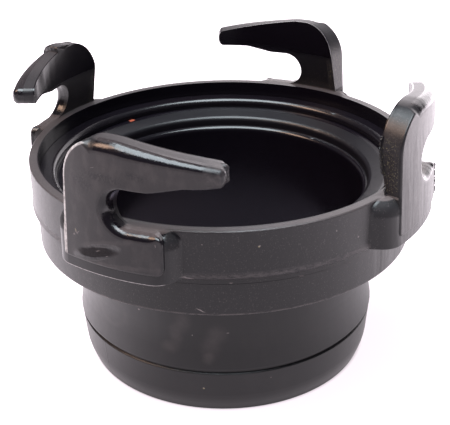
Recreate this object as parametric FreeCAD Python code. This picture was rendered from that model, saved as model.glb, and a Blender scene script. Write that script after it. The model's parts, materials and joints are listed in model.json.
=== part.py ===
import FreeCAD, Part
import math
import os
from FreeCAD import Matrix, Vector

# Hose connector with a four-hook bayonet collar. The Z axis is the drain's axis and z = 0 is the
# bottom end of the hose spigot. Lengths are in millimetres and angles in degrees.

# Drain passage and hose spigot
bore_r = 36.0
spigot_wall = 2.4
spigot_length = 34.5
barb_height = 13.4
barb_rise = 1.15
barb_flare_height = 7.0
barb_flare_r = 28.0
groove_width = 1.3
groove_depth = 0.7
band_rise = 1.0
band_round = 0.3
lead_height = 3.6
lead_taper = 1.35
lead_wall = 1.35
lead_round = 10.8

# Collar, outside
collar_wall = 2.4
skirt_height = 9.8
upper_height = 11.95
tier_step = 1.0
lip_rise = 0.25
lip_height = 1.7
lip_fade_r = 2.55
strip_height = 1.4
strip_rise = 0.35
strip_line = 0.15
edge_round = 0.4

# Collar, inside: widths from the bore out to the wall, and heights down from the rim
bore_step_width = 1.4
bore_step_height = 2.3
bore_lip_round = 1.3
cone_width = 5.2
cone_drop = 1.4
seal_seat_width = 4.5
mouth_depth = 3.9
web_thickness = 2.8
web_round = 1.2
step_round = 1.3

# Sealing ring, held in a shallow groove of the collar wall
seal_thickness = 2.35
seal_groove_depth = 0.8
seal_clearance = 0.1
seal_setback = 0.3
seal_round = 1.4
seal_corner = 0.25

# Hooks: thickness at the rim, lean of their outer faces and of their pads', and the slanted recess
# that thins each stem from the inside
hook_count = 4
first_hook_azimuth = 60.0
hook_thickness = 6.6
face_draft = 3.5
recess_depth = 2.4
recess_height = 11.8

# Side view of a hook, drawn flat where the hook is half way through its thickness
slot_height = 9.7
slot_end = 1.1
stem_width = 11.1
stem_lean = 0.7
stem_corner_r = 10.0
crown_flat = 3.0
hook_root_height = 9.95
hook_tip_height = 3.9
tip_reach = 30.0
tip_rise = 1.8
ramp_length = 8.0
ramp_start = 10.9
crown_r = 12.0
crown_drop = 0.2
ramp_round = 8.0
nose_flat = 0.1
foot_reach = 14.3
foot_gap = 2.5
foot_back_r = 1.0
foot_front_r = 2.0
foot_top_r = 2.2

# Roundings of each hook's outer edge. At the tip it is the nose's own radius less the margin
crown_round = 3.0
tip_margin = 0.3
stem_round = 0.45
slot_end_round = 2.0
lip_round = 2.1
foot_round = 0.5

# Pad that carries each hook on the collar
pad_thickness = 3.9
pad_back = 14.0
pad_front = 15.1
flank_slant = 36.0
pad_corner_r = 5.5
pad_top_round = 3.0
pad_bottom_round = 0.35

# Worked-out radii
neck_r = bore_r + spigot_wall
barb_r = neck_r + barb_rise
step_r = bore_r + bore_step_width
cone_r = step_r + cone_width
collar_inner_r = cone_r + seal_seat_width
collar_r = collar_inner_r + collar_wall
skirt_r = collar_r - tier_step
skirt_inner_r = skirt_r - collar_wall
lip_r = collar_r + lip_rise
hook_r = collar_inner_r + hook_thickness
hook_mid_r = collar_inner_r + hook_thickness / 2
pad_r = collar_r + pad_thickness
seal_groove_r = collar_inner_r + seal_groove_depth
slot_r = slot_height / 2
nose_r = (hook_tip_height - nose_flat) / 2
tip_round = nose_r - tip_margin

# Worked-out heights
tier_z = spigot_length + skirt_height
rim_z = tier_z + upper_height
seal_top_z = rim_z - mouth_depth
seat_z = seal_top_z - seal_thickness
cone_z = seat_z - cone_drop
step_z = cone_z - bore_step_height
slot_top_z = rim_z + slot_height
groove_top_z = barb_height - groove_depth / 2
groove_low_z = groove_top_z - groove_width

# Margin by which a cutting or joining solid runs past what it meets
overrun = 1.0

# Distance under which two places count as one, and how far inside a pad's face its edges may lie
touch = 1e-3
edge_margin = 1.2


def tangent_arc(before, corner, after, radius):
    """Start, middle and end of the arc of that radius that rounds the corner."""
    to_before = (before - corner).normalize()
    to_after = (after - corner).normalize()
    half = to_before.getAngle(to_after) / 2
    cut = radius / math.tan(half)
    inward = (to_before + to_after).normalize()
    middle = corner + inward * (radius / math.sin(half) - radius)
    return corner + to_before * cut, middle, corner + to_after * cut


def rounded_wire(corners):
    """Closed wire through (point, radius) corners, where each radius rounds its corner."""
    spans = []
    for index, (point, radius) in enumerate(corners):
        before = corners[index - 1][0]
        after = corners[(index + 1) % len(corners)][0]
        spans.append(tangent_arc(before, point, after, radius) if radius else (point, None, point))
    edges = []
    for index, (start, middle, end) in enumerate(spans):
        following = spans[(index + 1) % len(spans)][0]
        if middle is not None:
            edges.append(Part.Arc(start, middle, end).toShape())
        if (following - end).Length > touch:
            edges.append(Part.makeLine(end, following))
    return Part.Wire(edges)


def turned(corners):
    """Solid of revolution about Z of a closed (radius, height, rounding) outline."""
    wire = rounded_wire([(Vector(r, 0, z), rounding) for r, z, rounding in corners])
    return Part.Face(wire).revolve(Vector(0, 0, 0), Vector(0, 0, 1), 360)


def face_r(rim_level_r, height):
    """Radius of a leaning outer face at a height, from its radius at the rim's level."""
    return rim_level_r - (height - rim_z) * math.tan(math.radians(face_draft))


def sleeve(inside, rim_level_r):
    """Tube about Z between an inside (radius, height) outline and a leaning outer face.

    Its seam is on the side away from the hook that is being made.
    """
    ends = [(face_r(rim_level_r, height), height) for height in (inside[-1][1], inside[0][1])]
    tube = turned([(r, z, 0) for r, z in inside + ends])
    tube.rotate(Vector(0, 0, 0), Vector(0, 0, 1), 180)
    return tube


def at_azimuth(radius, azimuth, height=0.0):
    """Point at a radius and an azimuth."""
    angle = math.radians(azimuth)
    return Vector(radius * math.cos(angle), radius * math.sin(angle), height)


def turned_body():
    """Collar, web and hose spigot as one wall, without the hooks."""
    inside = [
        (bore_r, 0, 0),
        (bore_r, step_z, bore_lip_round),
        (step_r, step_z, 0),
        (step_r, cone_z, step_round),
        (cone_r, seat_z, 0),
        (collar_inner_r, seat_z, 0),
        (collar_inner_r, rim_z, 0),
    ]
    strip_z = tier_z - strip_height
    strip_r = skirt_r + strip_rise
    outside = [
        (collar_r, rim_z, edge_round),
        (collar_r, tier_z + lip_height, lip_fade_r),
        (lip_r, tier_z + edge_round, 0),
        (lip_r - edge_round, tier_z, 0),
        (strip_r, tier_z, 0),
        (strip_r, strip_z, 0),
        (skirt_r - strip_line, strip_z, 0),
        (skirt_r, strip_z - 2 * strip_line, 0),
        (skirt_r, spigot_length, edge_round / 2),
        (skirt_inner_r, spigot_length, edge_round / 2),
    ]
    underside = [
        (skirt_inner_r, seat_z - web_thickness, web_round),
        (neck_r, cone_z - web_thickness, web_round),
        (neck_r, barb_height + barb_flare_height, barb_flare_r),
        (barb_r, barb_height, 0),
        (barb_r, groove_top_z, 0),
        (barb_r - groove_depth, groove_top_z - groove_depth / 2, 0),
        (barb_r - groove_depth, groove_low_z + groove_depth / 2, 0),
        (neck_r + band_rise, groove_low_z, band_round),
        (bore_r + lead_wall + lead_taper, lead_height, lead_round),
        (bore_r + lead_wall, 0, 0),
    ]
    return turned(inside + outside + underside)


def hook_outline():
    """Side view of a hook and its foot, in the YZ plane with Y along the finger."""
    back = slot_end - stem_width
    crown_z = slot_top_z + hook_root_height
    tip_z = slot_top_z + tip_rise
    foot_z = tier_z + foot_gap
    corners = [
        (back - stem_lean, foot_z, foot_back_r),
        (back, crown_z + crown_drop, stem_corner_r),
        (back + stem_corner_r + crown_flat, crown_z, crown_r),
        (tip_reach, tip_z + hook_tip_height, nose_r),
        (tip_reach, tip_z, nose_r),
        (ramp_start + ramp_length, tip_z - crown_drop, ramp_round),
        (ramp_start, slot_top_z, ramp_round),
        (slot_end, slot_top_z, slot_r),
        (slot_end, rim_z, slot_r),
        (foot_reach, rim_z, foot_top_r),
        (foot_reach, foot_z, foot_front_r),
    ]
    return rounded_wire([(Vector(0, y, z), rounding) for y, z, rounding in corners])


def spread(wire, distance):
    """The outline as it is at a distance from the axis, so that its sides stay radial."""
    matrix = Matrix()
    matrix.A22 = distance / hook_mid_r
    matrix.A14 = distance
    return wire.transformGeometry(matrix)


def along_finger(point):
    """How far along the finger a point lies, as the flat outline counts it."""
    return hook_mid_r * point.y / point.x


def edge_radius(point):
    """Rounding of the hook's outer edge at a point on it."""
    along = along_finger(point)
    if along > tip_reach - nose_r:
        return tip_round
    if point.z > slot_top_z + tip_rise + hook_tip_height / 2 and along > slot_end - overrun:
        return crown_round
    if abs(point.z - rim_z) < overrun and along > slot_end:
        return lip_round
    if point.z < rim_z - overrun:
        return foot_round
    if abs(along - slot_end) < overrun and point.z < slot_top_z - overrun:
        return slot_end_round
    return stem_round


def round_outer_edges(plate):
    """Rounds the hook's outer edge, wide at the crown and the slot's end and fine elsewhere."""
    rows = []
    for number, edge in enumerate(plate.Edges, 1):
        middle = edge.valueAt((edge.FirstParameter + edge.LastParameter) / 2)
        if abs(math.hypot(middle.x, middle.y) - face_r(hook_r, middle.z)) < touch:
            ends = [edge.valueAt(edge.FirstParameter), edge.valueAt(edge.LastParameter)]
            if edge.Orientation == "Reversed":
                ends.reverse()
            rows.append((number, edge_radius(ends[0]), edge_radius(ends[1])))
    document = FreeCAD.newDocument("rounding")
    base = document.addObject("Part::Feature", "plate")
    base.Shape = plate
    fillet = document.addObject("Part::Fillet", "rounded")
    fillet.Base = base
    fillet.Edges = rows
    document.recompute()
    result = fillet.Shape.copy()
    FreeCAD.closeDocument(document.Name)
    return result


def hook_plate():
    """One hook with its foot, from the collar's inner wall out to the hook's face."""
    wire = hook_outline()
    near = spread(wire, collar_inner_r / 2)
    far = spread(wire, hook_r + overrun)
    prism = Part.makeLoft([near, far], True, True)
    inside = [
        (collar_inner_r, tier_z),
        (collar_inner_r, rim_z),
        (collar_inner_r + recess_depth, rim_z),
        (collar_inner_r, rim_z + recess_height),
        (collar_inner_r, slot_top_z + hook_root_height + overrun),
    ]
    return round_outer_edges(prism.common(sleeve(inside, hook_r)))


def outer_edges(shape, low_z, high_z):
    """Edges outside the collar whose middle lies between two heights."""
    chosen = []
    for edge in shape.Edges:
        middle = edge.valueAt((edge.FirstParameter + edge.LastParameter) / 2)
        at_face = math.hypot(middle.x, middle.y) > face_r(pad_r, middle.z) - edge_margin
        if at_face and low_z < middle.z < high_z:
            chosen.append(edge)
    return chosen


def hook_pad():
    """Block that thickens the collar under a hook, with slanted flanks."""
    back = at_azimuth(pad_r + overrun, -pad_back)
    front = at_azimuth(pad_r + overrun, pad_front)
    slant_back = at_azimuth(1.0, 180 - pad_back + flank_slant)
    slant_front = at_azimuth(1.0, 180 + pad_front - flank_slant)
    depth = (pad_thickness + collar_wall + overrun) / math.cos(math.radians(flank_slant))
    plan = [
        back - slant_back * pad_thickness,
        front - slant_front * pad_thickness,
        front + slant_front * depth,
        back + slant_back * depth,
    ]
    face = Part.Face(Part.makePolygon(plan + [plan[0]]))
    block = face.extrude(Vector(0, 0, rim_z - tier_z))
    block.translate(Vector(0, 0, tier_z))
    middle_r = collar_r - collar_wall / 2
    pad = block.common(sleeve([(middle_r, tier_z), (middle_r, rim_z)], pad_r))
    pad = pad.makeFillet(pad_corner_r, outer_edges(pad, tier_z + overrun, rim_z - overrun))
    pad = pad.makeFillet(pad_top_round, outer_edges(pad, rim_z - touch, rim_z + touch))
    return pad.makeFillet(pad_bottom_round, outer_edges(pad, tier_z - touch, tier_z + touch))


def bayonet_body():
    """The one-piece moulding: turned wall with its hooks and their pads."""
    body = turned_body()
    plate = hook_plate()
    pad = hook_pad()
    pieces = []
    for index in range(hook_count):
        azimuth = first_hook_azimuth + index * 360.0 / hook_count
        for piece in (pad, plate):
            copy = piece.copy()
            copy.rotate(Vector(0, 0, 0), Vector(0, 0, 1), azimuth)
            pieces.append(copy)
    body = body.fuse(pieces)
    groove_top_r = collar_inner_r - overrun
    groove_z = seal_top_z + seal_clearance
    groove = turned([
        (groove_top_r, seat_z, 0),
        (seal_groove_r, seat_z, 0),
        (seal_groove_r, groove_z, 0),
        (groove_top_r, groove_z, 0),
    ])
    return body.cut(groove)


def sealing_ring():
    """Flat rubber ring with a rounded inner edge, on its seat in the collar."""
    inner_r = cone_r + seal_setback
    outer_r = seal_groove_r - seal_clearance
    return turned([
        (inner_r, seat_z, seal_corner),
        (inner_r, seal_top_z, seal_round),
        (outer_r, seal_top_z, seal_corner),
        (outer_r, seat_z, seal_corner),
    ])


def main():
    os.makedirs("parts", exist_ok=True)
    nodes = {"bayonet_body": bayonet_body(), "sealing_ring": sealing_ring()}
    for name, shape in nodes.items():
        solid = shape.Solids[0]
        print(name, "solids", len(shape.Solids), "valid", solid.isValid(), "volume", round(solid.Volume))
        solid.exportStep(f"parts/{name}.step")


main()
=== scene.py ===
import json
import math

import bpy
import numpy as np
from mathutils import Matrix, Vector


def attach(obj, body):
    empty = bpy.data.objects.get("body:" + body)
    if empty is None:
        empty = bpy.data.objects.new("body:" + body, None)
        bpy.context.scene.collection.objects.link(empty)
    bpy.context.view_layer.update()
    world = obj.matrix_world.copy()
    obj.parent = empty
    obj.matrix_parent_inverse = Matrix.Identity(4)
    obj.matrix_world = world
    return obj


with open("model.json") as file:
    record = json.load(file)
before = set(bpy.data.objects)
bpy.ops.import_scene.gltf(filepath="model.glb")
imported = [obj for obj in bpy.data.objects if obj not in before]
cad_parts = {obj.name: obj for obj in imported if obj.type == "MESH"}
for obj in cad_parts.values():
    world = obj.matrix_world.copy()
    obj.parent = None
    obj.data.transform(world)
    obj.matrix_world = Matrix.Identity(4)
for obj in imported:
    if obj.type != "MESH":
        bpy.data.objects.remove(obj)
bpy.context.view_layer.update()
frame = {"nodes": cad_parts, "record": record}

# A four-hook hose connector of black plastic with a rubber seal. Lengths are in millimetres, brought
# to metres by MM, and angles are in degrees. Hooks are named by the azimuth of their roots.
MM = 0.001

# Sizes that the frame gives
mounts = {mount["name"]: mount for mount in frame["record"]["mounts"]}
bore_r = mounts["drain_bore"]["dims"]["r_mm"]
hook_inner_r = mounts["collar_bore"]["dims"]["r_mm"]
rim_z = mounts["bayonet_hooks"]["pos_m"][2] / MM

# Hooks: their outer faces lean inward from this radius at the rim's level, and lengths along a
# finger are counted on the circle half way through its thickness
hook_azimuths = (60.0, 150.0, 240.0, 330.0)
hook_face_r = 53.7
face_lean = math.tan(math.radians(3.5))
hook_mid_r = 50.4
slot_z = 58.0
slot_top_z = 66.3
bend_z = 69.5
finger_z = 70.0
crown_top = 75.9
crown_turn = 3.5
crown_slope = 0.154
crown_round = 3.0
back_flank = -10.0
foot_front = 14.3
foot_z = 46.8
stem_corner_r = 10.0
recess_depth = 2.4
recess_height = 11.8

# Azimuths on a hook from its root, where a stretch of its surface starts and ends
flank_turns = (-12.8, -9.4)
stem_turns = (-11.4, 15.9)
pad_turns = (-24.0, 24.0)
scar_turns = (15.6, 18.8)
polish_turns = (-1.6, 36.0)
tip_turns = (18.0, 27.0)

# Azimuths of the front hook, its tip and the right hook, where each starts and ends
front_hook = (222.0, 262.0)
front_tip = (265.5, 276.0)
right_hook = (316.0, 350.0)

# Collar and spigot
collar_r = 49.5
tier_z = 44.3
pad_face_r = 53.4
neck_r = 38.4
neck_top_z = 34.5
skirt_top_z = 12.0
spigot_r = 37.2
web_ring = (36.9, 41.5)

# Marks of moulding and use: the torn crown's end line leans by this much for each millimetre out
tear_end = 6.5
tear_slant = 0.24
gate_azimuth = 238.4
gate_z = 50.0
gate_tilt = 0.36
parting_azimuth = 217.15

# The photograph: its width in pixels, the lens's focal length in pixels, and the camera's place
photo_width = 450
focal_pixels = 1000.675
sensor_width = 36.0
camera_distance = 267.27
camera_tilt = 26.633
camera_roll = -1.107
aim_point = Vector((0.188, 0.0, 36.1)) * MM

# Studio, in metres
floor_size = 8.0
backdrop_distance = 1.25
backdrop_height = 1.1
backdrop_width = 3.2
light_distance = 1.0

# Colours
black = (0.0034, 0.0024, 0.0042, 1.0)
# Grey of dust, and of the painted highlights above the tier line and along the front hook's foot
dust_and_highlight_grey = (0.16, 0.13, 0.13, 1.0)
# Grey of the painted highlight lines along the front hook's edges
highlight_grey = (0.5, 0.46, 0.46, 1.0)
# Gold of lint specks, and of the painted glints on the stems' back flanks
lint_and_glint_gold = (0.5, 0.42, 0.24, 1.0)
lint_red = (0.3, 0.07, 0.04, 1.0)
soft_black = (0.0, 0.0, 0.0, 1.0)
# Paler floor grey under the bore, a painted light that brightens the bore's inside
bore_floor_painted_light = (0.19, 0.155, 0.19, 1.0)
sheet_grey = (0.08, 0.08, 0.08, 1.0)
floor_white = (1.1, 1.0, 1.07, 1.0)
backdrop_white = (1.06, 1.0, 1.04, 1.0)


class Signal:
    """A number that varies over a surface. Arithmetic on it adds Math nodes to its finish."""

    def __init__(self, finish, socket):
        self.finish = finish
        self.socket = socket

    def math(self, operation, first, second):
        return self.finish.node("ShaderNodeMath", {"operation": operation}, {0: first, 1: second})

    def __add__(self, other):
        return self.math("ADD", self, other)

    def __sub__(self, other):
        return self.math("SUBTRACT", self, other)

    def __rsub__(self, other):
        return self.math("SUBTRACT", other, self)

    def __mul__(self, other):
        return self.math("MULTIPLY", self, other)

    def __truediv__(self, other):
        return self.math("DIVIDE", self, other)

    __radd__ = __add__
    __rmul__ = __mul__


class Finish:
    """One procedural material, with the place of each point in millimetres."""

    def __init__(self, name):
        self.material = bpy.data.materials.new(name)
        self.material.use_nodes = True
        self.tree = self.material.node_tree
        self.tree.nodes.clear()
        metres = self.node("ShaderNodeTexCoord", None, None, "Object")
        self.point = self.node("ShaderNodeVectorMath", {"operation": "SCALE"}, {0: metres, "Scale": 1 / MM})
        self.x = self.node("ShaderNodeSeparateXYZ", None, {0: self.point}, "X")
        self.y = self.node("ShaderNodeSeparateXYZ", None, {0: self.point}, "Y")
        self.height = self.node("ShaderNodeSeparateXYZ", None, {0: self.point}, "Z")
        self.radius = self.x.math("SQRT", self.x * self.x + self.y * self.y, 0.0)
        turn = self.x.math("ARCTAN2", self.y, self.x) * math.degrees(1.0)
        self.azimuth = turn.math("FLOORED_MODULO", turn, 360.0)

    def node(self, kind, settings=None, inputs=None, output=0):
        """Adds a node: its settings first, then its sockets' values or links. Returns one output."""
        made = self.tree.nodes.new(kind)
        for name, value in (settings or {}).items():
            setattr(made, name, value)
        for key, value in (inputs or {}).items():
            socket = self.find(made.inputs, key)
            if isinstance(value, Signal):
                self.tree.links.new(value.socket, socket)
            else:
                socket.default_value = value
        return Signal(self, self.find(made.outputs, output)) if made.outputs else None

    @staticmethod
    def find(sockets, key):
        """A socket by its number, or the first one in use that has the name."""
        if isinstance(key, int):
            return sockets[key]
        return next(socket for socket in sockets if socket.name == key and socket.enabled)

    def rise(self, value, low, high):
        """0 up to the low value, 1 from the high one, and a smooth step between."""
        return self.node("ShaderNodeMapRange", {"interpolation_type": "SMOOTHSTEP"},
                         {"Value": value, "From Min": low, "From Max": high})

    def band(self, value, low, high, soft):
        """1 between two values and 0 outside them, with soft ends."""
        start = self.rise(value, low - soft, low + soft)
        return start * (1 - self.rise(value, high - soft, high + soft))

    def noise(self, grain, stretch=(1.0, 1.0, 1.0), detail=3.0):
        """Noise whose grain is about that many millimetres, longer along the axes with a small stretch."""
        where = self.node("ShaderNodeMapping", None, {"Vector": self.point, "Scale": stretch})
        return self.node("ShaderNodeTexNoise", None,
                         {"Vector": where, "Scale": 1 / grain, "Detail": detail, "Roughness": 0.6}, "Fac")

    def wall_place(self, waver):
        """Place on the unrolled outside wall, moved about by a fine noise of that many millimetres."""
        around = self.azimuth * (math.radians(1.0) * collar_r)
        flat = self.node("ShaderNodeCombineXYZ", None, {"X": around, "Y": self.height})
        stir = self.node("ShaderNodeTexNoise", None,
                         {"Vector": self.point, "Scale": 0.7, "Detail": 4.0}, "Color")
        shift = self.node("ShaderNodeVectorMath", {"operation": "SUBTRACT"}, {0: stir, 1: (0.5, 0.5, 0.5)})
        shift = self.node("ShaderNodeVectorMath", {"operation": "MULTIPLY"},
                          {0: shift, 1: (2 * waver, 2 * waver, 0.0)})
        return self.node("ShaderNodeVectorMath", {"operation": "ADD"}, {0: flat, 1: shift})

    def from_spot(self, place, azimuth, height, half_width, half_height, lean=0.0):
        """How far from a spot on the outside wall: 0 at its middle and 1 at its oval edge."""
        middle = (math.radians(azimuth) * collar_r, height, 0.0)
        away = self.node("ShaderNodeVectorMath", {"operation": "SUBTRACT"}, {0: place, 1: middle})
        turned = self.node("ShaderNodeVectorRotate", {"rotation_type": "Z_AXIS"},
                           {"Vector": away, "Angle": math.radians(lean)})
        scaled = self.node("ShaderNodeVectorMath", {"operation": "MULTIPLY"},
                           {0: turned, 1: (1 / half_width, 1 / half_height, 0.0)})
        return self.node("ShaderNodeVectorMath", {"operation": "LENGTH"}, {0: scaled}, "Value")

    def spot(self, place, azimuth, height, half_width, half_height, lean=0.0, soft=0.5):
        """1 within an oval spot on the outside wall, and 0 away from it."""
        away = self.from_spot(place, azimuth, height, half_width, half_height, lean)
        return 1 - self.rise(away, 1 - soft, 1 + soft)

    def mix(self, share, first, second):
        """One colour below another, by the second one's share."""
        return self.node("ShaderNodeMix", {"data_type": "RGBA"},
                         {"Factor": share, "A": first, "B": second}, "Result")

    def surface(self, inputs):
        """Puts the Principled shader with its inputs on the output."""
        shader = self.node("ShaderNodeBsdfPrincipled", None, inputs, "BSDF")
        self.node("ShaderNodeOutputMaterial", None, {"Surface": shader})
        return self.material


def hook_depth(finish):
    """How far a point lies in from the hooks' leaning outer faces."""
    return (hook_face_r + rim_z * face_lean) - finish.height * face_lean - finish.radius


def own_turn(finish):
    """Azimuth of a point from the root of the hook that it belongs to, between -30 and 60."""
    turn = finish.azimuth - (hook_azimuths[0] - 30.0)
    return turn.math("FLOORED_MODULO", turn, 90.0) - 30.0


def along_finger(finish):
    """How far a point lies from its hook's root along the finger."""
    turn = own_turn(finish) * math.radians(1.0)
    return turn.math("TANGENT", turn, 0.0) * hook_mid_r


def on_face(finish):
    """1 on the hooks' outer faces, up to their roundings."""
    return 1 - finish.rise(hook_depth(finish), 0.03, 0.16)


def spots(finish, place, rows, soft=0.5):
    """Sum of oval spots: azimuth, height, half width, half height and lean of each."""
    return sum(finish.spot(place, *row, soft=soft) for row in rows)


def neck_dust(finish, place):
    """Scuffs, the ring smudge and dust specks on the neck and the skirt."""
    scuffs = spots(finish, place, [
        (254.0, 25.6, 2.2, 2.4, 0.0),
        (251.4, 21.8, 1.8, 2.4, -20.0),
        (249.2, 18.2, 2.4, 1.3, 0.0),
        (266.6, 22.6, 2.6, 2.0, 0.0),
        (264.2, 19.2, 2.6, 2.2, 0.0),
        (263.4, 16.2, 1.6, 1.2, 0.0),
    ], soft=0.75)
    specks = spots(finish, place, [
        (236.6, 26.4, 0.3, 0.2, 0.0),
        (257.5, 22.2, 0.16, 0.14, 0.0),
        (270.5, 23.2, 0.4, 0.1, -20.0),
        (263.4, 35.8, 1.1, 0.11, 25.0),
        (261.4, 7.4, 0.25, 0.16, 30.0),
        (286.0, 9.5, 0.18, 0.14, 0.0),
    ])
    ring = finish.band(finish.from_spot(place, 222.0, 22.5, 6.4, 3.8), 0.9, 1.1, 0.2)
    clouds = finish.rise(finish.noise(7.0, (1.0, 1.0, 0.6)), 0.5, 0.75)
    below = 1 - finish.rise(finish.height, neck_top_z - 0.3, neck_top_z + 0.3)
    patches = scuffs * (0.5 + finish.noise(2.2, detail=2.0)) * 0.14 + ring * 0.05 + clouds * 0.02
    return patches * below * finish.rise(finish.radius, spigot_r, spigot_r + 0.6) + specks


def hook_haze_and_edge_highlight(finish, place):
    """Dull bloom on the hooks' faces, thinner along the flow marks and gone at the gate's mark, and a
    painted highlight along the lower edge of the front hook's foot.
    """
    flow = finish.noise(2.6, (1.0, 1.0, 0.55))
    fine = finish.noise(0.5)
    higher = finish.rise(finish.height, slot_z, finger_z)
    bloom = 0.03 + 0.04 * higher + 0.07 * finish.rise(flow, 0.42, 0.7)
    speckle = spots(finish, place, [
        (241.0, 68.0, 5.5, 1.0, 6.0),
        (235.2, 65.8, 2.6, 1.6, 20.0),
        (249.4, 69.4, 2.6, 0.8, 10.0),
    ], soft=0.7)
    bloom = bloom * (1 - speckle * finish.rise(fine, 0.42, 0.56))
    bloom = bloom * (1 - gate_mark(finish))
    scratches = spots(finish, place, [
        (238.2, 69.8, 0.5, 0.05, -25.0),
        (240.3, 68.6, 0.3, 0.05, -40.0),
        (232.6, 53.4, 0.6, 0.1, 40.0),
        (233.2, 53.6, 0.5, 0.1, -50.0),
        (231.9, 52.8, 0.2, 0.2, 0.0),
        (239.0, 50.6, 0.5, 0.08, -20.0),
        (241.4, 49.6, 0.4, 0.08, -30.0),
        (254.0, 54.2, 0.12, 0.4, 0.0),
    ])
    halo = finish.spot(place, 240.6, 52.4, 5.4, 0.7, -16.0)
    # Painted highlight: a pale band along the lower edge of the front hook's foot
    low = finish.spot(place, 243.0, 47.6, 9.0, 0.5, -6.0)
    return on_face(finish) * (bloom * (0.7 + 0.6 * fine) + scratches * 0.5 + halo * 0.08 + low * 0.08)


def edge_highlights(finish):
    """Painted highlight lines on the front hook, where its edges catch the light: round the back of its
    stem and along the pad's low edge.
    """
    along = along_finger(finish)
    before = along.math("MINIMUM", along, 0.0)
    above = finish.height - (crown_top - stem_corner_r)
    above = above.math("MAXIMUM", above, 0.0)
    reach = along.math("SQRT", before * before + above * above, 0.0)
    back = finish.band(reach, stem_corner_r - 0.4, stem_corner_r + 0.9, 0.1)
    back = back * finish.band(hook_depth(finish), -0.1, 0.45, 0.1) * (1 - finish.rise(along, -6.0, -2.0))
    back = back * finish.rise(finish.height, foot_z, foot_z + 1.0)
    pad = finish.band(finish.height, tier_z - 0.1, tier_z + 0.3, 0.08)
    pad = pad * finish.rise(finish.radius, pad_face_r - 0.5, pad_face_r - 0.1)
    broken = 0.5 + 0.5 * finish.rise(finish.noise(0.9), 0.35, 0.6)
    return (back * 0.8 + pad * 0.7) * broken * finish.band(finish.azimuth, *front_hook, 2.0)


def gate_mark(finish):
    """Rough patch low on the front hook's face, where the mould was filled."""
    return finish.spot(finish.wall_place(0.2), gate_azimuth, gate_z, 5.2, 1.5, -19.0, soft=0.3)


def pale_tops(finish):
    """Paler tops of the crowns, the rim and the pads: less toward the fingers' tips, and none where the
    crown is torn."""
    along = along_finger(finish)
    down = along - crown_turn
    line = crown_top - down.math("MAXIMUM", down, 0.0) * crown_slope
    crown = finish.rise(finish.height - line, -0.45, -0.2)
    crown = crown * finish.rise(finish.radius, hook_inner_r + 0.1, hook_inner_r + 0.4)
    torn_end = along + (finish.radius - hook_inner_r) * tear_slant
    torn_end = finish.rise(torn_end, tear_end - 0.3, tear_end - 0.2)
    crown = crown * (1 - torn_end * finish.rise(finish.height - line, 0.05, 0.15))
    crown = crown * (1 - finish.rise(along, 14.0, 24.0) * 0.5)
    rim = finish.band(finish.radius, hook_inner_r + 0.3, hook_face_r - 0.7, 0.2)
    rim = rim * finish.band(finish.height, rim_z - 0.25, rim_z + 0.3, 0.1)
    foot = rim * finish.rise(finish.radius, collar_r - 0.1, collar_r + 0.3)
    return (crown * 0.17 + rim * 0.28 + foot * 0.2) * (0.7 + 0.6 * finish.noise(0.6))


def collar_dust_and_highlights(finish, place):
    """Painted highlight on the band just above the tier line, a pale broken line at the collar's lower
    edge, and specks on the collar's walls.
    """
    broken = finish.rise(finish.noise(1.6, (1.0, 1.0, 3.0)), 0.3, 0.62)
    # Painted highlight: the band just above the tier line, paler where it catches the light
    tier_highlight = finish.band(finish.height, tier_z + 0.35, tier_z + 1.5, 0.5)
    tier_highlight = tier_highlight * finish.band(finish.radius, collar_r - 0.1, collar_r + 0.5, 0.1)
    edge = finish.band(finish.height, neck_top_z - 0.3, neck_top_z + 0.45, 0.15)
    edge = edge * finish.rise(finish.radius, hook_inner_r + 0.5, hook_inner_r + 1.1)
    specks = spots(finish, place, [
        (278.8, 52.4, 0.25, 0.2, 30.0),
        (264.3, 53.1, 0.16, 0.14, 0.0),
        (307.6, 48.9, 0.2, 0.2, 0.0),
        (300.0, 52.5, 0.16, 0.14, 0.0),
        (271.4, 43.2, 0.3, 0.12, 0.0),
        (260.3, 44.8, 1.2, 0.2, 8.0),
        (290.4, 42.7, 0.7, 0.16, 20.0),
        (247.0, 43.6, 0.2, 0.14, 0.0),
    ])
    walls = finish.rise(finish.radius, hook_inner_r + 0.8, hook_inner_r + 1.2)
    walls = walls * (1 - finish.rise(finish.radius, hook_face_r - 1.7, hook_face_r - 1.3))
    pepper = finish.rise(finish.noise(0.34, detail=1.0), 0.6, 0.74) * walls
    return tier_highlight * broken * 0.2 + edge * broken * 0.3 + specks * 0.7 + pepper * 0.2


def back_grain(finish):
    """Sandy skin on the back flanks of the hooks' stems, below the bend."""
    flank = finish.band(own_turn(finish), *flank_turns, 0.3)
    flank = flank * finish.rise(finish.radius, hook_inner_r + 0.1, hook_inner_r + 0.9)
    flank = flank * finish.rise(hook_depth(finish), 0.6, 1.2)
    return flank * finish.band(finish.height, rim_z + 0.5, bend_z, 2.5)


def pad_scar(finish):
    """Rough patches on the pads' tops, in front of the hooks' feet."""
    front = finish.band(own_turn(finish), *scar_turns, 0.6)
    front = front * finish.rise(finish.radius, collar_r + 0.2, collar_r + 0.7)
    return front * finish.band(finish.height, rim_z - 3.0, rim_z + 0.5, 0.6)


def pad_tops(finish):
    """1 on the dull rounded tops of the pads, on both sides of the stems."""
    own = own_turn(finish)
    top = finish.rise(finish.radius, collar_r + 0.4, collar_r + 0.8)
    top = top * finish.band(finish.height, rim_z - 3.8, rim_z + 0.5, 0.5)
    return top * (1 - finish.band(own, *stem_turns, 0.3)) * finish.band(own, *pad_turns, 1.0)


def inner_lean(finish):
    """Relief that turns the fingers' inner faces downward, as their draft does, except at the tips."""
    inner = 1 - finish.rise(finish.radius, hook_inner_r + 0.05, hook_inner_r + 0.2)
    above = finish.height - (rim_z + recess_height)
    lean = above.math("MAXIMUM", above, 0.0) * 0.1
    return inner * lean * (1 - finish.rise(own_turn(finish), *tip_turns))


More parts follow.
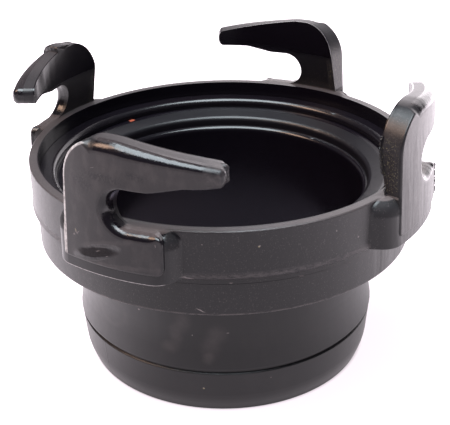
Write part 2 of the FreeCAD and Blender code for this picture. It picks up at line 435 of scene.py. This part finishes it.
def relief(finish):
    """Fine relief of the moulding, in millimetres."""
    outside = finish.rise(finish.radius, spigot_r, spigot_r + 0.8)
    collar = finish.rise(finish.radius, hook_inner_r + 0.5, hook_inner_r + 1.1)
    sand = finish.noise(0.4) * (0.006 * outside + 0.016 * collar)
    waves = finish.noise(4.5, (1.0, 1.0, 0.15), 1.0) * 0.05 * outside
    flow = (finish.noise(5.0, (1.0, 1.0, 0.2), 2.0) - 0.5) * collar
    flow = flow * finish.band(finish.azimuth, *right_hook, 2.0)
    flow = flow * (1 - finish.rise(finish.height, bend_z - 3.5, bend_z + 3.5)) * 0.4
    bumps = finish.noise(2.2, detail=2.0) * 0.02 * collar
    gate = gate_mark(finish) * (finish.noise(0.7) * 0.1 + (gate_z - finish.height) * gate_tilt)
    back = back_grain(finish) * finish.noise(0.5) * 0.08
    scar = pad_scar(finish) * finish.noise(1.0) * 0.12
    parting = finish.band(finish.azimuth, parting_azimuth - 0.15, parting_azimuth + 0.15, 0.12)
    parting = parting * (1 - finish.rise(finish.height, skirt_top_z - 0.4, skirt_top_z))
    return sand + waves + flow + bumps + gate + back + scar + parting * 0.07 + inner_lean(finish)


def tip_wear(finish):
    """1 on the front hook's rough tip."""
    tip = finish.band(finish.azimuth, *front_tip, 1.2)
    return tip * finish.rise(finish.height, rim_z + 4.0, rim_z + 5.0)


def polished(finish):
    """1 on the glossy parts: the inside, and the roundings of the fingers and the slots."""
    depth = hook_depth(finish)
    hooks = finish.band(own_turn(finish), *polish_turns, 0.6) * finish.rise(depth, 0.03, 0.12)
    hooks = hooks * finish.rise(finish.height, rim_z - 2.5, rim_z - 1.9)
    hooks = hooks * finish.rise(finish.radius, collar_r + 0.3, collar_r + 0.7)
    tops = (1 - finish.rise(depth, 3.0, 3.6)) + finish.band(finish.height, rim_z + 0.4, slot_top_z, 0.4)
    hooks = hooks * tops.math("MINIMUM", tops, 1.0) * (1 - pad_scar(finish)) * (1 - tip_wear(finish))
    inside = 1 - finish.rise(finish.radius, hook_inner_r + 0.1, hook_inner_r + 0.5)
    inside = inside * (1 - finish.band(finish.radius, *web_ring, 0.3) * 0.9)
    return hooks.math("MAXIMUM", hooks, inside)


def plastic_finish():
    """Satin black plastic: glossy roundings and insides, grained walls, dust and marks of use, with painted
    highlights on edges and painted glints on the stems' back flanks.
    """
    finish = Finish("black_plastic")
    place = finish.wall_place(0.5)
    # How far the black is paled: dust, haze, scuffs, specks and paler tops, and painted highlights above
    # the tier line and along the front hook's foot
    dust = neck_dust(finish, place) + hook_haze_and_edge_highlight(finish, place) + collar_dust_and_highlights(finish, place)
    dust = dust + pale_tops(finish) + 0.03 * back_grain(finish)
    dust = dust + tip_wear(finish) * finish.rise(finish.noise(1.1), 0.4, 0.7) * 0.12
    # Painted glints: gold sparkles in the sandy grain of the stems' back flanks
    sparkle = back_grain(finish) * finish.rise(finish.noise(0.3, detail=1.0), 0.58, 0.72)
    tint = finish.mix(dust.math("MINIMUM", dust, 1.0), black, dust_and_highlight_grey)
    tint = finish.mix(sparkle * 0.18, tint, lint_and_glint_gold)
    # Painted highlight lines along the back of the front hook's stem and along the pad's low edge
    tint = finish.mix(edge_highlights(finish), tint, highlight_grey)
    lint = spots(finish, finish.wall_place(0.2), [
        (232.4, 53.9, 0.4, 0.08, 60.0),
        (278.6, 52.2, 0.2, 0.14, 0.0),
        (261.4, 7.2, 0.3, 0.2, 0.0),
    ])
    tint = finish.mix(lint.math("MINIMUM", lint, 1.0) * 0.4, tint, lint_and_glint_gold)
    red_fleck = finish.spot(place, 128.4, 50.0, 0.9, 2.0) * finish.band(finish.radius, 42.0, 43.0, 0.2)
    tint = finish.mix(red_fleck, tint, lint_red)
    rough = 0.36 + 0.1 * finish.noise(1.2) + 0.08 * back_grain(finish) + 0.35 * pad_tops(finish)
    bump = finish.node("ShaderNodeBump", None,
                       {"Strength": 1.0, "Distance": MM, "Height": relief(finish)}, "Normal")
    return finish.surface({
        "Base Color": tint,
        "Roughness": rough * (1 - polished(finish) * 0.52),
        "IOR": 1.46,
        "Normal": bump,
    })


def rubber_finish():
    """Smooth black rubber with a little dust and soft waves."""
    finish = Finish("seal_rubber")
    dust = finish.rise(finish.noise(0.5, detail=2.0), 0.62, 0.78) * 0.05 + 0.01 * finish.noise(5.0)
    waves = finish.noise(3.0, detail=1.0) * 0.02 + finish.noise(0.5) * 0.001
    bump = finish.node("ShaderNodeBump", None, {"Strength": 1.0, "Distance": MM, "Height": waves}, "Normal")
    return finish.surface({
        "Base Color": finish.mix(dust, black, dust_and_highlight_grey),
        "Roughness": 0.2 + 0.1 * finish.noise(2.0),
        "IOR": 1.5,
        "Normal": bump,
    })


def glowing_sheet(name, strength, tint, level):
    """Finish of the floor and the backdrop: pale, and as bright as its level makes it."""
    finish = Finish(name)
    # Painted light: under the bore the floor is a paler grey, which brightens the bore's inside
    open_floor = finish.rise(finish.radius, bore_r - 0.5, bore_r + 0.5)
    return finish.surface({
        "Base Color": finish.mix(open_floor, bore_floor_painted_light, sheet_grey),
        "Roughness": 0.9,
        "Specular IOR Level": 0.0,
        "Emission Color": finish.mix(level(finish) / strength, soft_black, tint),
        "Emission Strength": strength,
    })


def floor_level(finish):
    """Brightness of the floor: dark under the bore, brighter to both sides and far in front."""
    open_floor = finish.rise(finish.radius, bore_r, neck_r)
    toward_back = finish.rise(finish.y, -115.0, -10.0)
    left = finish.rise(0 - finish.x, 20.0, 70.0) * (0.1 + 1.2 * toward_back)
    right = finish.node("ShaderNodeMapRange", {"interpolation_type": "LINEAR"},
                        {"Value": finish.x, "From Min": 50.0, "From Max": 200.0, "To Max": 2.8})
    front = finish.rise(0 - finish.y, 160.0, 260.0) * 0.4
    back = finish.rise(finish.y, 0.0, 90.0) * 0.7
    return open_floor * (0.93 + left + right * (0.4 + 0.6 * toward_back) + front + back)


def backdrop_level(finish):
    """Brightness of the backdrop: more to its right and near the floor."""
    across = finish.rise(finish.x, -300.0, 350.0) * 2.0
    low = (1 - finish.rise(finish.height, 220.0, 400.0)) * finish.rise(finish.x, -100.0, 50.0) * 2.4
    return 0.15 + across + low


def hook_places(root, along, radius, height):
    """Places on a hook, from how far they lie along its finger, their radius and their height."""
    azimuth = math.radians(root) + np.arctan(along / hook_mid_r)
    around = [radius * np.cos(azimuth), radius * np.sin(azimuth), height + 0.0 * azimuth]
    return np.stack(np.broadcast_arrays(*around), axis=-1)


def ragged(values, start):
    """Uneven line from -1 to 1: the sum of three sines of unlike lengths, from a starting angle."""
    slow = np.sin(values * 2.3 + start)
    middle = np.sin(values * 5.9 + 2.1 * start)
    quick = np.sin(values * 13.7 + 3.3 * start)
    return 0.5 * slow + 0.3 * middle + 0.2 * quick


def skinned(name, loops):
    """Closed surface through a stack of closed loops, an array of loops by points by x, y, z."""
    count, around = loops.shape[:2]
    index = np.arange(count * around).reshape(count, around)
    following = np.roll(index, -1, axis=1)
    walls = np.stack([index[:-1], following[:-1], following[1:], index[1:]], axis=-1)
    ends = [index[0][::-1].tolist(), index[-1].tolist()]
    mesh = bpy.data.meshes.new(name)
    mesh.from_pydata((loops.reshape(-1, 3) * MM).tolist(), [], walls.reshape(-1, 4).tolist() + ends)
    mesh.materials.append(black_plastic)
    piece = bpy.data.objects.new(name, mesh)
    bpy.context.scene.collection.objects.link(piece)
    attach(piece, "root")


def crown_tear():
    """Torn layer on the crown of the hook at 150. Its section along the finger thickens to a step at its
    end, and is carried outward over the rounded crown, on a line that slants back."""
    root = hook_azimuths[1]
    radius = np.linspace(hook_inner_r, 52.3, 16)[:, None]
    along = np.array([-2.0, 0.0, 2.0, 4.0, 5.6, 6.4, 6.6, 6.5, 6.5, 3.0, -2.0])
    lift = np.array([-0.1, 0.2, 0.6, 1.0, 1.3, 1.35, 1.15, 0.5, -0.3, -0.5, -0.5])
    slant = along - tear_slant * (radius - hook_inner_r) + 0.06 * ragged(radius * 2.0, 0.4)
    crown = crown_top - crown_slope * np.maximum(slant - crown_turn, 0.0)
    past = np.maximum(radius - (52.5 - crown_round), 0.0)
    drop = crown_round - np.sqrt(np.maximum(crown_round ** 2 - past ** 2, 0.0))
    height = crown - drop + lift * (1.0 + 0.05 * ragged(radius * 1.7, 1.9))
    skinned("crown_tear", hook_places(root, slant, radius, height))


def tip_flash():
    """Rough flash at the front hook's tip, on its inner side: wavy ovals stacked along the finger, which
    shrink toward the end by the fourth power of the way out."""
    root = hook_azimuths[2]
    out = np.linspace(0.0, 1.0, 10)[:, None]
    turn = np.linspace(0.0, 2 * np.pi, 36, endpoint=False)
    size = (1.0 - 0.3 * out ** 4) * (1.0 + 0.06 * ragged(turn * 1.5, 1.1) + 0.05 * ragged(turn * 4.0, 4.0))
    along = 28.2 + 2.5 * out + 0.35 * ragged(turn * 2.0, 2.2) * out
    radius = 48.8 + 1.6 * size * np.cos(turn)
    height = 69.7 + 2.2 * size * np.sin(turn)
    skinned("tip_flash", hook_places(root, along, radius, height))


def stem_flash():
    """Ragged flash on the inner back edge of the hook at 330: a thin section carried up the edge, wide
    below the bend and broken below its middle, where its width follows the levels."""
    root = hook_azimuths[3]
    height = np.linspace(rim_z + 0.2, 70.0, 70)[:, None]
    inner = hook_inner_r + recess_depth * np.maximum(1.0 - (height - rim_z) / recess_height, 0.0)
    levels = [56.4, 57.4, 58.6, 60.8, 61.6, 63.0, 66.6, 68.6, 70.0]
    widths = [0.9, 1.1, 0.4, 0.3, 1.2, 1.3, 1.0, 0.6, 0.1]
    width = np.interp(height, levels, widths) + 0.12 * ragged(height * 2.6, 2.0)
    across = np.array([0.4, 0.4, 0.0, -1.0, -1.1, -1.0])
    thick = np.array([0.0, 0.5, 0.45, 0.35, 0.18, 0.02])
    along = back_flank + np.where(across > 0, across, across * np.maximum(width, 0.04))
    skinned("stem_flash", hook_places(root, along, inner + thick, height))


def foot_burr():
    """Uneven burr down the front edge of the foot of the hook at 330: a round section carried down it,
    whose size and place waver with the height."""
    root = hook_azimuths[3]
    height = np.linspace(47.2, 55.2, 40)[:, None]
    turn = np.linspace(0.0, 2 * np.pi, 8, endpoint=False)
    size = 0.3 + 0.16 * ragged(height * 1.3, 1.4) + 0.1 * ragged(height * 3.1, 0.2)
    along = foot_front + 0.1 * ragged(height * 0.9, 2.6) + size * np.cos(turn)
    radius = hook_face_r - (height - rim_z) * face_lean - 0.1 + size * np.sin(turn)
    skinned("foot_burr", hook_places(root, along, radius, height))


def flat_sheet(name, corners, material):
    """Four-cornered flat sheet of the studio."""
    mesh = bpy.data.meshes.new(name)
    mesh.from_pydata(corners, [], [(0, 1, 2, 3)])
    mesh.materials.append(material)
    sheet = bpy.data.objects.new(name, mesh)
    bpy.context.scene.collection.objects.link(sheet)


def studio_sheets():
    """Floor under the object and upright backdrop behind it, both glowing softly."""
    half = floor_size / 2
    flat_sheet("floor", [(-half, -half, 0), (half, -half, 0), (half, half, 0), (-half, half, 0)],
               glowing_sheet("pale_floor", 6.0, floor_white, floor_level))
    side = backdrop_width / 2
    y = backdrop_distance
    flat_sheet("backdrop", [(-side, y, 0), (side, y, 0), (side, y, backdrop_height),
                            (-side, y, backdrop_height)],
               glowing_sheet("pale_backdrop", 3.0, backdrop_white, backdrop_level))


def soft_light(name, direction, width, height, radiance, tint):
    """Rectangular light that faces the object from a direction, with the radiance that it shows."""
    data = bpy.data.lights.new(name, "AREA")
    data.shape = "RECTANGLE"
    data.size = width
    data.size_y = height
    data.energy = radiance * math.pi * width * height
    data.color = tint
    light = bpy.data.objects.new(name, data)
    toward = Vector(direction).normalized()
    light.location = aim_point + toward * light_distance
    light.rotation_mode = "QUATERNION"
    light.rotation_quaternion = (-toward).to_track_quat("-Z", "Y")
    bpy.context.scene.collection.objects.link(light)


def studio_lights():
    """Large cool softbox overhead, small warm lamp at the left, and a dim even surrounding."""
    soft_light("overhead_softbox", (-0.08, -0.16, 0.98), 0.85, 0.85, 13.0, (0.84, 0.94, 1.0))
    soft_light("warm_lamp", (-0.68, -0.14, 0.72), 0.3, 0.45, 13.0, (1.0, 0.66, 0.48))
    world = bpy.data.worlds.new("studio")
    world.use_nodes = True
    background = world.node_tree.nodes["Background"]
    background.inputs["Color"].default_value = (0.1, 0.1, 0.103, 1.0)
    bpy.context.scene.world = world


def photo_camera():
    """Camera that looks down at the aim point at the photograph's tilt, rolled about its own view."""
    tilt = math.radians(camera_tilt)
    roll = math.radians(camera_roll)
    forward = Vector((0.0, math.cos(tilt), -math.sin(tilt)))
    level = Vector((1.0, 0.0, 0.0))
    upright = level.cross(forward)
    right = level * math.cos(roll) + upright * math.sin(roll)
    above = upright * math.cos(roll) - level * math.sin(roll)
    data = bpy.data.cameras.new("photo_camera")
    data.sensor_width = sensor_width
    data.lens = sensor_width * focal_pixels / photo_width
    data.clip_start = 0.01
    data.clip_end = 50.0
    camera = bpy.data.objects.new("photo_camera", data)
    axes = Matrix((right, above, -forward)).transposed()
    camera.matrix_world = Matrix.Translation(aim_point - forward * camera_distance * MM) @ axes.to_4x4()
    bpy.context.scene.collection.objects.link(camera)
    bpy.context.scene.camera = camera


def dress(node, material):
    """Gives a node of the frame its finish."""
    for slot in frame["nodes"][node].material_slots:
        slot.material = material


photo_camera()
studio_sheets()
studio_lights()
black_plastic = plastic_finish()
dress("bayonet_body", black_plastic)
dress("sealing_ring", rubber_finish())
crown_tear()
tip_flash()
stem_flash()
foot_burr()
bpy.context.scene.view_settings.view_transform = "Standard"
